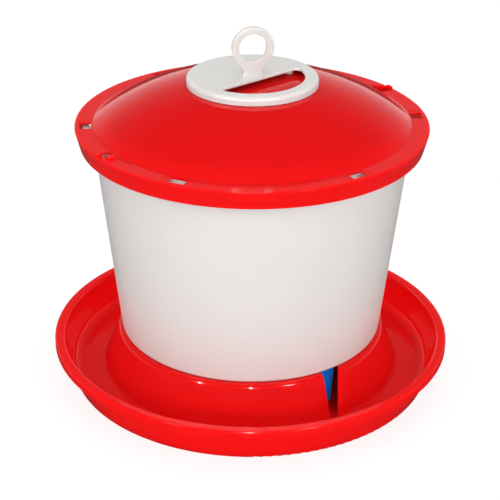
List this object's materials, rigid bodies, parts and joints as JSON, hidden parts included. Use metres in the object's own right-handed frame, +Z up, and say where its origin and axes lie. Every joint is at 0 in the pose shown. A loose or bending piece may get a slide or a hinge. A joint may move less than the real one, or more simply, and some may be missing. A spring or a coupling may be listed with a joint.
{
  "type": "poultry drinker",
  "caption": "Hanging poultry drinker: round red tray with a float-fed trough, tapered white bucket, twist-lock domed red lid and a white cap with a hanging ring",
  "frame": {"origin": "On the floor, at the middle of the tray's foot.", "axes": "+Z is up along the axis of the bucket; the front, with the thumb tab at the middle of the lid and the water notch to its right, faces -Y; +X is to the right seen from the front."},
  "size_m": [0.39, 0.39, 0.3515],
  "materials": {
    "red_plastic": "glossy moulded polypropylene",
    "white_plastic": "slightly translucent natural polypropylene, satin",
    "blue_plastic": "smooth moulded polypropylene",
    "rubber": "matte nitrile rubber",
    "screw_steel": "plain stainless steel"
  },
  "bodies": {
    "base": {"tray": "red_plastic", "bucket": "white_plastic", "outlet_fitting": "white_plastic", "outlet_gasket": "rubber", "outlet_nut": "white_plastic"},
    "float": {"float": "blue_plastic", "valve_seal": "rubber"},
    "lid": {"lid": "red_plastic", "hanger_cap": "white_plastic", "cap_screws": "screw_steel"}
  },
  "joints": [
    {"name": "lid_turn", "type": "hinge", "parent": "base", "child": "lid", "pos_m": [0, 0, 0.258], "axis": [0, 0, 1], "range_deg": [0, 12]},
    {"name": "float_lift", "type": "slide", "parent": "base", "child": "float", "axis": [0, 0, 1], "range_m": [0, 0.004]}
  ]
}
